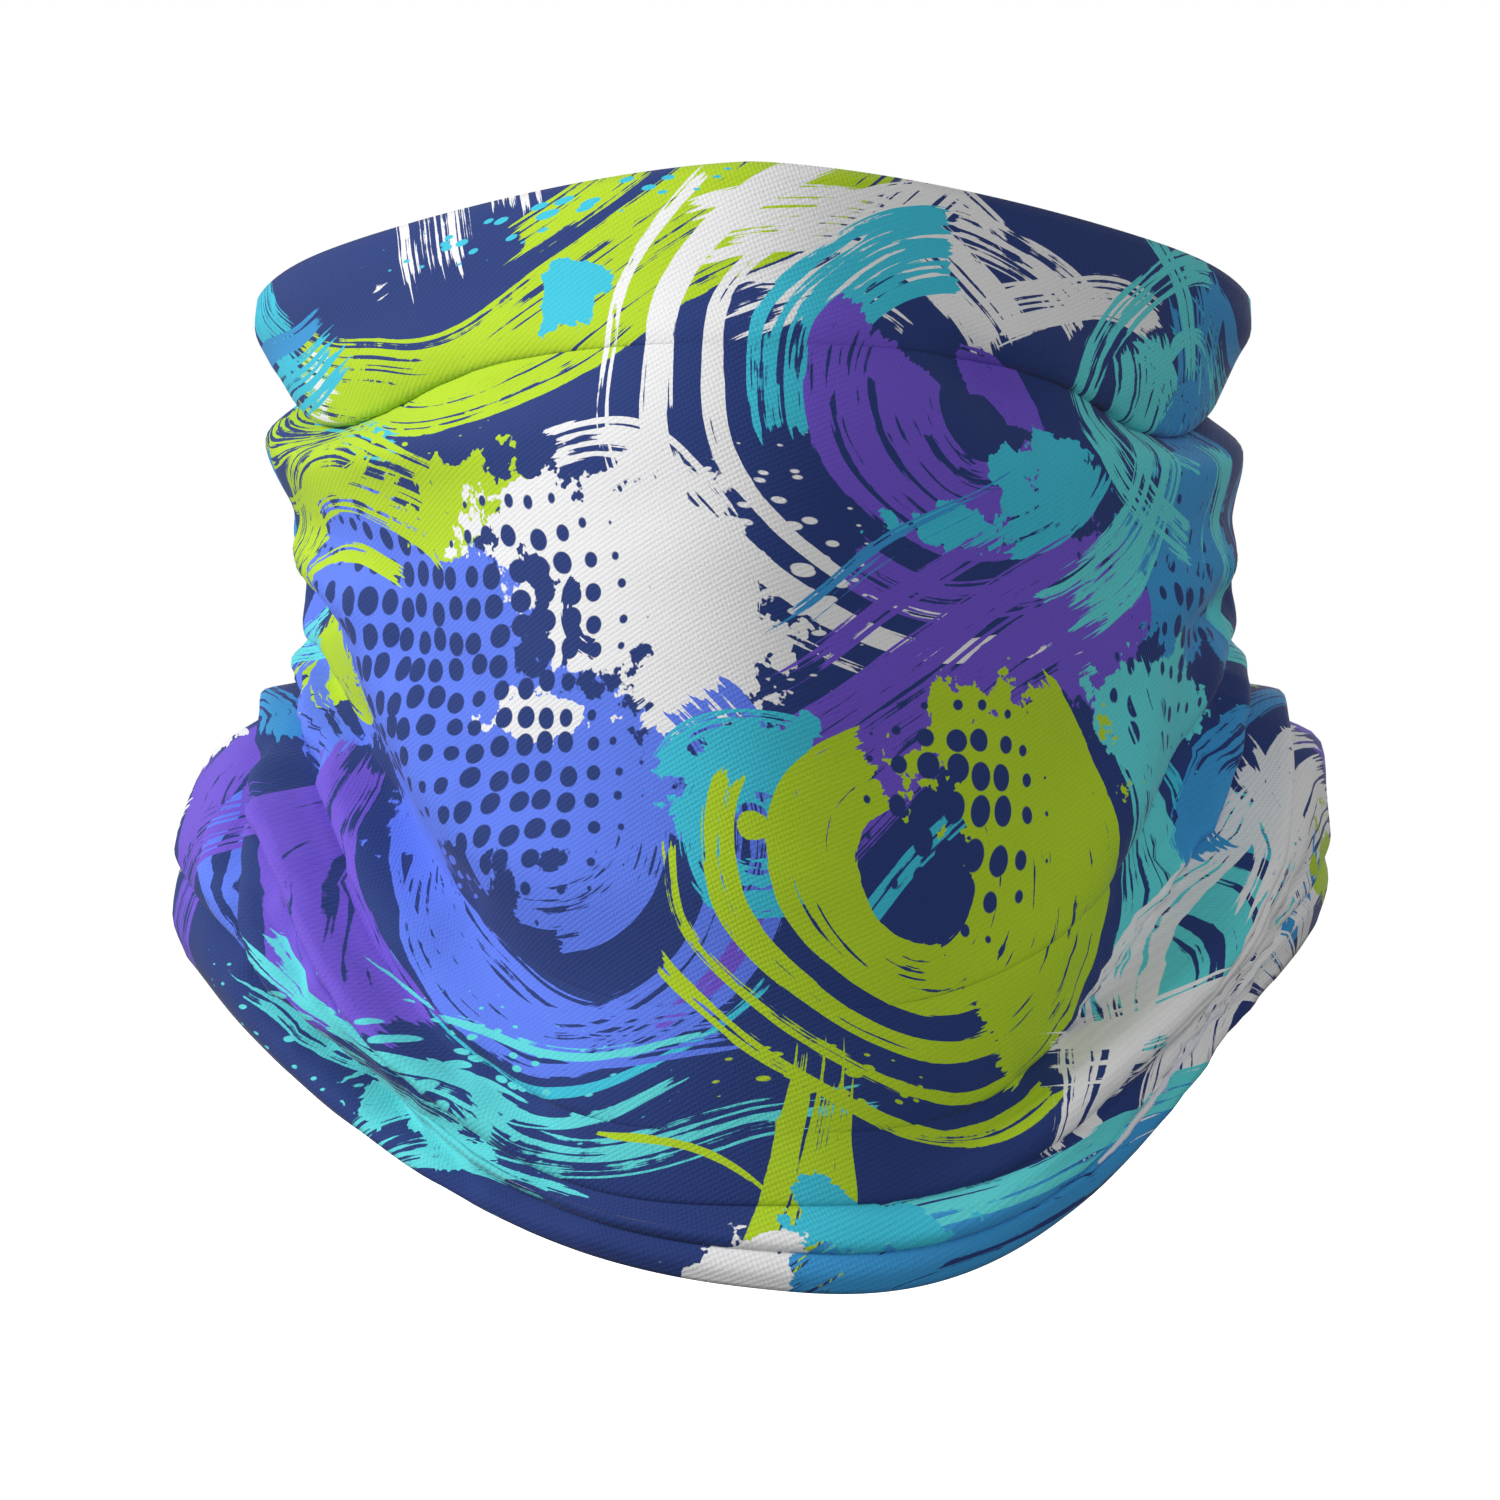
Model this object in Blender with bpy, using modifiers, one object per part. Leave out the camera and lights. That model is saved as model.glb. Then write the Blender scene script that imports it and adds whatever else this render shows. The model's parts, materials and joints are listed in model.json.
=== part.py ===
"""Neck gaiter, in the shape it takes when worn: pulled up over the nose, bunched round the neck.

One printed knit panel is rolled into a tube and closed at the centre back by a flat seam of
four needle threads, a cover thread outside and a looper thread inside. A bartack locks each end
of the seam, and a folded care label is caught in it on the inside.

Metres, +Z up, -Y is the wearer's front and +X is the right of someone facing the wearer.
The origin is the centre of the bounding box's bottom, under the wearer's neck.
"""

from collections import namedtuple
from math import cos, pi, radians, sin

import bmesh
import bpy
import numpy as np
from mathutils import Vector

MM = 0.001

# Driving sizes in millimetres.
FABRIC_THICKNESS = 0.8
SEAM_GAP = 0.4
THREAD_RADIUS = 0.15
CLEARANCE = 0.3
COLUMNS = 64
ROWS = 30
NAPE_FLATTENING = 1.7

NEEDLE_SPACING = 1.6
NEEDLE_COUNT = 4
COVER_HALF_WIDTH = 3.2
LOOPER_HALF_WIDTH = 2.9
STITCH_LENGTH = 2.6
SEAM_END_MARGIN = 1.2

BARTACK_CROSSINGS = 8
BARTACK_PITCH = 1.0
BARTACK_HALF_WIDTH = 4.0
BARTACK_INSET = 2.0

LABEL_LENGTH = 14.0
LABEL_HEIGHT = 26.0
LABEL_LEAF = 0.22
LABEL_LEAF_GAP = 0.4
LABEL_EASE = 0.2
LABEL_BELOW_RIM = 9.0
LABEL_REST_ANGLE = 15.0

# A guide ring is one line round the tube, at one distance down the cloth. half_width is at the
# sides, front and back are depths from the neck axis, and z_front, z_side and z_back are the
# heights there. flank lifts the ring at both flanks of the front, lean lifts its +X side, shift
# moves its sides to +X, turn swings its front towards +X (degrees), and point sharpens the front.
Ring = namedtuple("Ring", "name half_width front back z_front z_side z_back flank lean shift turn point")

RINGS = (
    Ring("top_rim", 80.0, 89.0, 82.0, 170.5, 155.5, 142.0, 0, 1, 0.6, 0, 0.35),
    Ring("band_middle", 78.0, 95.0, 82.0, 152.0, 148.0, 135.0, 0, 0, 0.4, 0, 0.36),
    Ring("side_crease", 74.6, 98.0, 82.0, 139.0, 141.0, 129.0, -12, 0, 0.3, 0, 0.35),
    Ring("roll_shoulder", 77.2, 99.0, 82.0, 134.0, 136.5, 125.0, -10, 0, 0.5, 0, 0.33),
    Ring("roll_crest", 79.0, 99.5, 82.0, 126.0, 130.0, 118.0, -3, 0, 0.6, 0, 0.32),
    Ring("under_roll", 76.5, 96.0, 82.0, 92.0, 121.0, 111.0, 0, 0, 1.8, 0, 0.26),
    Ring("gather_crest", 75.7, 93.0, 82.0, 60.0, 113.0, 105.0, 0, 0, 2.2, 1, 0.16),
    Ring("gather_valley", 75.0, 87.0, 81.0, 40.0, 104.0, 100.0, 0, 0, 3.0, 2, 0.08),
    Ring("neck_fold_crest", 78.2, 91.5, 81.0, 26.0, 97.5, 95.0, 0, 0, 2.6, 3, 0.04),
    Ring("neck_fold_crease", 77.0, 87.5, 81.5, 21.0, 93.0, 92.0, 0, 1, 2.6, 3, 0.0),
    Ring("inner_cowl_crest", 88.6, 92.5, 84.0, 17.5, 84.0, 86.0, 0, 3, 2.6, 4, 0.0),
    Ring("inner_cowl_crease", 88.0, 88.5, 84.5, 14.0, 79.5, 82.5, 0, 3, 1.8, 4, 0.0),
    Ring("outer_cowl_crest", 93.5, 94.0, 87.0, 10.0, 70.0, 76.0, 0, 2, 0.0, 4, 0.0),
    Ring("outer_cowl_crease", 91.2, 90.0, 86.5, 6.5, 63.0, 70.0, 0, 1, 0.6, 4, 0.0),
    Ring("hem_crest", 92.4, 93.0, 87.0, 3.5, 58.0, 66.0, 0, 1, 0.2, 4, 0.0),
    Ring("hem_rim", 90.5, 91.0, 84.0, 0.0, 51.0, 59.0, 0, 0, 0.0, 4, 0.0),
)

# Greatest value of sin^6 * cos^2, which shapes the lift at the flanks.
FLANK_PEAK = 27 / 256


def ring_points(ring, angles):
    """Points of one guide ring at these angles from the front.

    The back is pressed flat against the nape.
    """
    turned = angles - radians(ring.turn) * np.cos(angles / 2) ** 2
    across, along = np.sin(turned), np.cos(turned)
    forward = np.clip(along, 0, 1)
    backward = np.clip(-along, 0, 1)
    x = ring.half_width * np.sin(angles) + ring.shift * across**2
    y = ring.back * backward - ring.front * ((1 - ring.point) * forward + ring.point * forward**3)
    z = ring.z_side * across**2 + ring.z_front * forward**2 + ring.z_back * backward**2
    z += ring.lean * across * abs(across)
    z += ring.flank * across**6 * forward**2 / FLANK_PEAK
    return np.stack([x, np.minimum(y, ring.back - NAPE_FLATTENING), z], axis=1)


def monotone_slopes(knots, values):
    """Slopes of a smooth curve through values that never swings past them."""
    steps = np.diff(knots)[:, None, None]
    chords = np.diff(values, axis=0) / steps
    before, after = chords[:-1], chords[1:]
    wide, narrow = steps[1:] + 2 * steps[:-1], 2 * steps[1:] + steps[:-1]
    same_way = before * after > 0
    safe_before, safe_after = np.where(same_way, before, 1), np.where(same_way, after, 1)
    mean = (wide + narrow) / (wide / safe_before + narrow / safe_after)
    inner = np.where(same_way, mean, 0)
    return np.concatenate([chords[:1], inner, chords[-1:]])


def loft(angles, rows):
    """The cloth's middle surface: rows x angles points, from the top rim to the hem."""
    rings = np.array([ring_points(ring, angles) for ring in RINGS])
    gaps = np.linalg.norm(np.diff(rings, axis=0), axis=2).mean(axis=1)
    knots = np.concatenate([[0], np.cumsum(gaps)])
    slopes = monotone_slopes(knots, rings)
    down = np.linspace(0, knots[-1], rows + 1)
    above = np.clip(np.searchsorted(knots, down, side="right") - 1, 0, len(gaps) - 1)
    gap = gaps[above][:, None, None]
    share = (down - knots[above])[:, None, None] / gap
    weight = share**2 * (3 - 2 * share)
    points = (1 - weight) * rings[above] + weight * rings[above + 1]
    points += share * (1 - share) ** 2 * gap * slopes[above]
    points -= share**2 * (1 - share) * gap * slopes[above + 1]
    return points


def material(name, color, roughness, sheen=0.0):
    made = bpy.data.materials.new(name)
    made.use_nodes = True
    shader = made.node_tree.nodes["Principled BSDF"]
    shader.inputs["Base Color"].default_value = (*color, 1)
    shader.inputs["Roughness"].default_value = roughness
    shader.inputs["Metallic"].default_value = 0
    shader.inputs["Sheen Weight"].default_value = sheen
    return made


def link(name, data, look, collection):
    item = bpy.data.objects.new(name, data)
    data.materials.append(look)
    collection.objects.link(item)
    return item


def fabric_panel(points, look, collection):
    """The knit sheet: an open grid, as the panel is cut, thickened to the cloth."""
    sheet = bmesh.new()
    grid = [[sheet.verts.new(p) for p in row] for row in points * MM]
    for upper, lower in zip(grid, grid[1:]):
        for j in range(len(upper) - 1):
            sheet.faces.new((upper[j], lower[j], lower[j + 1], upper[j + 1]))
    mesh = bpy.data.meshes.new("fabric_panel")
    sheet.to_mesh(mesh)
    sheet.free()
    panel = link("fabric_panel", mesh, look, collection)
    thickness = panel.modifiers.new("cloth", "SOLIDIFY")
    thickness.thickness = FABRIC_THICKNESS * MM
    thickness.offset = 0
    mesh.shade_smooth()
    return panel


def thread(name, path, look, collection):
    """One thread as a four-sided wire along a path in millimetres."""
    curve = bpy.data.curves.new(name, "CURVE")
    curve.dimensions = "3D"
    curve.bevel_depth = THREAD_RADIUS * MM
    curve.bevel_resolution = 0
    curve.use_fill_caps = True
    line = curve.splines.new("POLY")
    line.points.add(len(path) - 1)
    for point, place in zip(line.points, path):
        point.co = (*(c * MM for c in place), 1)
    return link(name, curve, look, collection)


class BackSeam:
    """Places along the two edges of the panel that meet at the centre back."""

    def __init__(self, points):
        self.left = points[:, 0], points[:, 1]
        self.right = points[:, -1], points[:, -2]
        steps = np.diff((points[:, 0] + points[:, -1]) / 2, axis=0)
        sizes = np.linalg.norm(steps, axis=1)
        self.lengths = np.concatenate([[0], np.cumsum(sizes)])
        self.total = self.lengths[-1]
        facing = np.stack([0 * sizes, -steps[:, 2], steps[:, 1]], axis=1) / sizes[:, None]
        normals = np.concatenate([facing[:1], facing[:-1] + facing[1:], facing[-1:]])
        self.normals = normals / np.linalg.norm(normals, axis=1)[:, None]

    def at(self, column, along):
        """The value of a column of the grid this far down from the top rim."""
        return np.array([np.interp(along, self.lengths, column[:, axis]) for axis in range(3)])

    def place(self, across, along, lift):
        """A point this far to +X of the seam, this far down it, and this far out from the cloth."""
        edge, next_column = self.right if across > 0 else self.left
        near, far = self.at(edge, along), self.at(next_column, along)
        share = (across - near[0]) / (far[0] - near[0])
        return near + share * (far - near) + lift * self.at(self.normals, along)

    def straight(self, across, lift):
        """A line down the seam, bending where the cloth's rows bend."""
        first, last = SEAM_END_MARGIN, self.total - SEAM_END_MARGIN
        rows = [along for along in self.lengths if first < along < last]
        return [self.place(across, along, lift) for along in (first, *rows, last)]

    def zigzag(self, half_width, start, pitch, crossings, lift):
        """A path that crosses the seam again and again, bending where the cloth's rows bend."""
        turns = start + np.arange(crossings + 1) * pitch / 2
        sides = half_width * (-1) ** np.arange(crossings + 1)
        rows = [along for along in self.lengths if turns[0] < along < turns[-1]]
        stops = sorted([*turns, *rows])
        return [self.place(np.interp(along, turns, sides), along, lift) for along in stops]


def seam_threads(seam, look, collection):
    """The flat seam in layers: cover thread on the cloth, needle threads over it, bartacks on top."""
    first_layer = FABRIC_THICKNESS / 2 + CLEARANCE + THREAD_RADIUS
    layer = 2 * THREAD_RADIUS + CLEARANCE
    crossings = int(2 * (seam.total - 2 * SEAM_END_MARGIN) / STITCH_LENGTH)
    cover = seam.zigzag(COVER_HALF_WIDTH, SEAM_END_MARGIN, STITCH_LENGTH, crossings, first_layer)
    looper = seam.zigzag(LOOPER_HALF_WIDTH, SEAM_END_MARGIN, STITCH_LENGTH, crossings, -first_layer)
    thread("seam_cover_thread", cover, look, collection)
    thread("seam_looper_thread", looper, look, collection)

    for k in range(NEEDLE_COUNT):
        across = (k - (NEEDLE_COUNT - 1) / 2) * NEEDLE_SPACING
        path = seam.straight(across, first_layer + layer)
        thread(f"seam_needle_thread_{k + 1}", path, look, collection)

    tack_length = BARTACK_CROSSINGS * BARTACK_PITCH / 2
    tack_starts = {
        "bartack_top": BARTACK_INSET,
        "bartack_bottom": seam.total - BARTACK_INSET - tack_length,
    }
    for name, start in tack_starts.items():
        lift = first_layer + 2 * layer
        path = seam.zigzag(BARTACK_HALF_WIDTH, start, BARTACK_PITCH, BARTACK_CROSSINGS, lift)
        thread(name, path, look, collection)


def care_label(seam, look, collection):
    """A satin strip folded into a loop, hanging from the stitch line it turns about."""
    outer = LABEL_LEAF_GAP / 2 + LABEL_LEAF
    inner = LABEL_LEAF_GAP / 2
    bend = [radians(degrees) for degrees in range(-90, 91, 30)]
    bend_centre = LABEL_LENGTH - outer
    outside = [(bend_centre + outer * cos(a), outer * sin(a)) for a in bend]
    inside = [(bend_centre + inner * cos(a), inner * sin(a)) for a in reversed(bend)]
    outline = [(0, -outer), *outside, (0, outer), (0, inner), *inside, (0, -inner)]

    curve = bpy.data.curves.new("care_label", "CURVE")
    curve.dimensions = "2D"
    curve.fill_mode = "BOTH"
    curve.extrude = LABEL_HEIGHT / 2 * MM
    line = curve.splines.new("POLY")
    line.points.add(len(outline) - 1)
    line.use_cyclic_u = True
    for point, (x, y) in zip(line.points, outline):
        point.co = (x * MM, y * MM, 0, 1)

    label = link("care_label", curve, look, collection)
    off_the_cloth = FABRIC_THICKNESS / 2 + 2 * (THREAD_RADIUS + CLEARANCE) + outer + LABEL_EASE
    middle = seam.place(0, LABEL_BELOW_RIM + LABEL_HEIGHT / 2, -off_the_cloth)
    label.location = (0, middle[1] * MM, middle[2] * MM)
    label.rotation_euler = (0, 0, -radians(LABEL_REST_ANGLE))


def centre_on_origin(collection):
    """Puts the origin at the centre of the bounding box's bottom."""
    bpy.context.view_layer.update()
    graph = bpy.context.evaluated_depsgraph_get()
    places = [
        item.matrix_world @ vertex.co
        for item in collection.objects
        for vertex in item.evaluated_get(graph).to_mesh().vertices
    ]
    low, high = np.min(places, axis=0), np.max(places, axis=0)
    for item in collection.objects:
        item.location -= Vector(((low[0] + high[0]) / 2, (low[1] + high[1]) / 2, low[2]))


def build():
    for item in list(bpy.data.objects):
        bpy.data.objects.remove(item)
    collection = bpy.data.collections.new("neck_gaiter")
    bpy.context.scene.collection.children.link(collection)

    seam_turn = SEAM_GAP / 2 / RINGS[0].half_width
    angles = np.linspace(seam_turn - pi, pi - seam_turn, COLUMNS + 1)
    points = loft(angles, ROWS)
    seam = BackSeam(points)

    knit = material("printed_knit", (0.022, 0.05, 0.2), 0.85, sheen=0.3)
    navy_thread = material("navy_thread", (0.02, 0.035, 0.13), 0.6)
    satin = material("label_satin", (0.8, 0.8, 0.78), 0.45)
    fabric_panel(points, knit, collection)
    seam_threads(seam, navy_thread, collection)
    care_label(seam, satin, collection)
    centre_on_origin(collection)


build()
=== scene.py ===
"""Neck gaiter: the draped cloth, its flat seam and label, a pale studio and the camera.

The cloth is lofted through guide rings like those of the frame, with tucked folds between them.
Sizes are millimetres in the frame's axes, unless a comment says otherwise: +X to the viewer's right,
-Y to the front, +Z up, z = 0 at the lowest point of the hem.
"""

import json
from collections import namedtuple
from math import cos, pi, radians, sin

import bmesh
import bpy
import numpy as np
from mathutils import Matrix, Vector, noise


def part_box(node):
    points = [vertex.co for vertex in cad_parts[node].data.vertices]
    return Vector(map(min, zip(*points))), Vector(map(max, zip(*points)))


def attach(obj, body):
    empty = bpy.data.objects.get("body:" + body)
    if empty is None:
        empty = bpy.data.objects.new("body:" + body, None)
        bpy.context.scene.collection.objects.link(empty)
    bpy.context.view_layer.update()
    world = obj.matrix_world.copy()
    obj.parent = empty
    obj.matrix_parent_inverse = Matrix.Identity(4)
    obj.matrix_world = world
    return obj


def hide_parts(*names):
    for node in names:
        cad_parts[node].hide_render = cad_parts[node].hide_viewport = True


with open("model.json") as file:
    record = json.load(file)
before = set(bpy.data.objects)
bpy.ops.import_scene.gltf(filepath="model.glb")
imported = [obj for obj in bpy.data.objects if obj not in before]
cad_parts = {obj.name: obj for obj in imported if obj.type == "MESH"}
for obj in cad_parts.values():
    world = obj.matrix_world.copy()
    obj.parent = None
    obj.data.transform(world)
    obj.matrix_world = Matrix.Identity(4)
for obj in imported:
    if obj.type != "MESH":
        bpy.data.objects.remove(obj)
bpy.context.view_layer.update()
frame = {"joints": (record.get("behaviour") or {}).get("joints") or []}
MM = 0.001

# ---- lines, meshes and pieces

UV_MAP = "surface_mm"


def unit(vectors):
    """The same directions with a length of 1."""
    return vectors / np.linalg.norm(vectors, axis=-1, keepdims=True)


def lengths_along(line):
    """How far along a line each of its points is."""
    return np.concatenate([[0], np.cumsum(np.linalg.norm(np.diff(line, axis=0), axis=1))])


def finished(made, name):
    """A mesh of what was built."""
    mesh = bpy.data.meshes.new(name)
    made.to_mesh(mesh)
    made.free()
    return mesh


def sheet_mesh(name, places, uvs):
    """A smooth sheet through a grid of places, whose rows go down, with a UV for each place."""
    made = bmesh.new()
    layer = made.loops.layers.uv.new(UV_MAP)
    grid = [[made.verts.new(place) for place in row] for row in places * MM]
    uv_of = {vert: uv for row, uv_row in zip(grid, uvs) for vert, uv in zip(row, uv_row)}
    for upper, lower in zip(grid, grid[1:]):
        for j in range(len(upper) - 1):
            face = made.faces.new((upper[j], lower[j], lower[j + 1], upper[j + 1]))
            face.smooth = True
            for loop in face.loops:
                loop[layer].uv = uv_of[loop.vert]
    return finished(made, name)


def add_piece(name, mesh, materials, body, node):
    """Adds a visual piece that moves with the body and stands in for the frame's node."""
    piece = bpy.data.objects.new(name, mesh)
    bpy.context.collection.objects.link(piece)
    for material in materials:
        mesh.materials.append(material)
    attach(piece, body)
    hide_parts(node)
    return piece


def thicken(piece, thickness):
    """Gives a sheet its thickness, half of it to each side."""
    solid = piece.modifiers.new("thickness", "SOLIDIFY")
    solid.thickness = thickness * MM
    solid.offset = 0
    return solid


# ---- the draped cloth

CLOTH_THICKNESS = 0.8
COLUMNS = 312
ROW_LENGTH = 1.55
LEAST_ROWS = 3
SEAM_SLIT = 0.1
BACK_FLATTENING = 1.7
FLANK_PEAK = 27 / 256
RIGHT_FLANK_PEAK = 0.186
CORNER_POWER = 16

# A guide ring is one line round the cloth: how wide it is at the sides, how deep in front and
# behind, and its heights there. flanks lifts it between the front and both sides, lift only
# between the front and the +X side, lean lifts its +X side, skew lifts the front's +X half, shift
# moves its sides to +X, turn swings its front towards +X (degrees), point sharpens the front,
# power holds the front low for longer, bulge swells it at the flanks, and corner rounds its sides
# off downwards.
Ring = namedtuple(
    "Ring",
    "name half_width front back z_front z_side z_back"
    " flanks lift lean skew shift turn point power bulge corner",
    defaults=(0, 0, 0, 0, 0, 0, 0, 2, 0, 0),
)

# Under a fold's crest the cloth turns in by tuck_side at the sides, tuck_front at the front and
# tuck_back at the back. It comes out again drop lower at the sides, and half that at the front and
# the back.
Fold = namedtuple("Fold", "crest tuck_side tuck_front tuck_back drop")

# A fold's rings: its crest, its lip, the tuck, and the shoulder of the cloth that comes out from
# under it. Each has its share of the way in and its share of the way down.
FOLD_STEPS = ((0, 0), (0.3, 0.48), (1, 0.62), (0.45, 1))

# The guide rings and folds, from the top rim down to the hem.
DRAPE = (
    Ring("top_rim", 80.2, 89.0, 82.0, 170.7, 158.4, 142.0, shift=0.4, point=0.4, power=1.4, corner=3.5),
    Ring("under_rim", 80.6, 91.5, 82.0, 164.0, 154.0, 139.5, shift=0.3, point=0.4, power=1.6, corner=3.5),
    Ring("band_middle", 78.6, 95.0, 82.0, 152.0, 147.0, 135.0, shift=0.2, point=0.4, corner=1.5),
    Fold(
        Ring("band_edge", 75.6, 97.6, 82.0, 144.0, 140.4, 129.5, flanks=-7, lean=-1, shift=0.3, point=0.34),
        tuck_side=4.8, tuck_front=0.0, tuck_back=0.4, drop=3.0,
    ),
    Ring("roll_crest", 79.2, 99.5, 82.0, 128.0, 131.5, 118.0, flanks=-4, lean=-1, shift=0.6, point=0.32),
    Ring("under_roll", 75.4, 96.5, 82.0, 94.0, 120.0, 111.0, shift=2.4, point=0.26),
    Ring("gather_top", 74.6, 93.5, 82.0, 64.0, 112.0, 105.5, shift=2.4, turn=1, point=0.16, power=2.4),
    Fold(
        Ring("gather_fold", 75.6, 91.5, 81.0, 44.0, 103.5, 101.0, shift=2.8, turn=2, point=0.08, power=3.0),
        tuck_side=1.4, tuck_front=0.0, tuck_back=0.3, drop=4.0,
    ),
    Fold(
        Ring("lower_fold", 77.2, 91.0, 81.0, 25.5, 96.6, 95.0, shift=2.6, turn=2, power=3.3, bulge=3.5),
        tuck_side=3.0, tuck_front=0.0, tuck_back=0.6, drop=3.6,
    ),
    Fold(
        Ring(
            "inner_lobe", 82.4, 91.6, 82.5, 14.5, 91.2, 88.5,
            lift=2, shift=3.0, turn=3, power=3.3, bulge=6,
        ),
        tuck_side=3.0, tuck_front=0.4, tuck_back=1.2, drop=3.4,
    ),
    Ring("lobe_shoulder", 89.3, 92.3, 85.0, 9.6, 82.5, 82.0, lift=3, lean=1, shift=2.6, turn=3, power=2.9),
    Fold(
        Ring(
            "outer_lobe", 93.4, 92.6, 86.5, 7.8, 67.5, 77.0,
            lift=4.5, lean=1.5, skew=-5.5, turn=3, power=2.5,
        ),
        tuck_side=2.4, tuck_front=1.5, tuck_back=1.6, drop=3.8,
    ),
    Ring("hem_crest", 93.0, 92.4, 86.5, 3.6, 58.5, 66.0, lift=6.8, lean=3, skew=-7, turn=2, power=2.4),
    Ring("hem_rim", 91.0, 91.2, 84.0, 0.8, 52.0, 59.0, lift=7.2, lean=3, skew=-9, turn=2, power=2.4),
)


def outward(points):
    """Horizontal unit vectors away from the middle of the tube."""
    return unit(points * (1, 1, 0))


def flank(angles):
    """1 at 60 degrees to either side of the front, falling to 0 at the front and the sides."""
    return np.sin(angles) ** 6 * np.clip(np.cos(angles), 0, 1) ** 2 / FLANK_PEAK


def right_flank(angles):
    """1 at 50 degrees to the +X side of the front, falling to 0 at the front and the side."""
    return np.clip(np.sin(angles), 0, 1) ** 3 * np.clip(np.cos(angles), 0, 1) ** 2 / RIGHT_FLANK_PEAK


def ring_points(ring, angles):
    """Points of one guide ring at these angles from the front, a little flattened at the back."""
    turned = angles - radians(ring.turn) * np.cos(angles / 2) ** 2
    across, along = np.sin(turned), np.cos(turned)
    forward, backward = np.clip(along, 0, 1), np.clip(-along, 0, 1)
    swell = 1 + ring.bulge / ring.half_width * flank(turned)
    x = ring.half_width * np.sin(angles) * swell + ring.shift * across**2
    y = ring.back * backward - ring.front * swell * ((1 - ring.point) * forward + ring.point * forward**3)
    rise = np.abs(across) ** np.where(along > 0, ring.power, 2)
    z = ring.z_side * rise + np.where(along > 0, ring.z_front, ring.z_back) * (1 - rise)
    z += ring.lean * across * abs(across) + ring.skew * across * forward**2
    z += ring.flanks * flank(turned) + ring.lift * right_flank(turned) - ring.corner * across**CORNER_POWER
    return np.stack([x, np.minimum(y, ring.back - BACK_FLATTENING), z], axis=1)


def fold_rings(fold, angles):
    """The rings of a fold, each set in from its crest and down."""
    crest = ring_points(fold.crest, angles)
    side = np.sin(angles) ** 2
    forward, backward = np.clip(np.cos(angles), 0, 1), np.clip(-np.cos(angles), 0, 1)
    depth = fold.tuck_side * side + fold.tuck_front * forward**2 + fold.tuck_back * backward**2
    drop = fold.drop * (0.5 + 0.5 * side)
    inward, down = -outward(crest) * depth[:, None], np.outer(drop, (0, 0, -1))
    return [crest + in_share * inward + down_share * down for in_share, down_share in FOLD_STEPS]


def monotone_slopes(knots, values):
    """Slopes of a smooth curve through values that never swings past them."""
    steps = np.diff(knots)[:, None, None]
    chords = np.diff(values, axis=0) / steps
    before, after = chords[:-1], chords[1:]
    wide, narrow = steps[1:] + 2 * steps[:-1], 2 * steps[1:] + steps[:-1]
    same_way = before * after > 0
    safe_before, safe_after = np.where(same_way, before, 1), np.where(same_way, after, 1)
    mean = (wide + narrow) / (wide / safe_before + narrow / safe_after)
    inner = np.where(same_way, mean, 0)
    return np.concatenate([chords[:1], inner, chords[-1:]])


def loft(rings):
    """A smooth grid through the rings, with more rows where they are further apart."""
    gaps = np.linalg.norm(np.diff(rings, axis=0), axis=2).mean(axis=1)
    knots = np.concatenate([[0], np.cumsum(gaps)])
    slopes = monotone_slopes(knots, rings)
    down = [0.0]
    for start, gap in zip(knots, gaps):
        count = max(LEAST_ROWS, round(gap / ROW_LENGTH))
        down.extend(start + gap * (k + 1) / count for k in range(count))
    down = np.array(down)
    above = np.clip(np.searchsorted(knots, down, side="right") - 1, 0, len(gaps) - 1)
    gap = gaps[above][:, None, None]
    share = (down - knots[above])[:, None, None] / gap
    weight = share**2 * (3 - 2 * share)
    points = (1 - weight) * rings[above] + weight * rings[above + 1]
    points += share * (1 - share) ** 2 * gap * slopes[above]
    points -= share**2 * (1 - share) * gap * slopes[above + 1]
    return points


# A ridge is a soft bulge, or a dent where its height is negative, along a line of (x, z) places
# on the front of the cloth. It fades at both ends of the line.
Ridge = namedtuple("Ridge", "height width places")
RIDGE_STEP = 1.5
RIDGE_FRONT = 10
RIDGE_END_SHARE = 0.05
RIDGE_FADE_POWER = 0.8
FAR = 1e6

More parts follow.
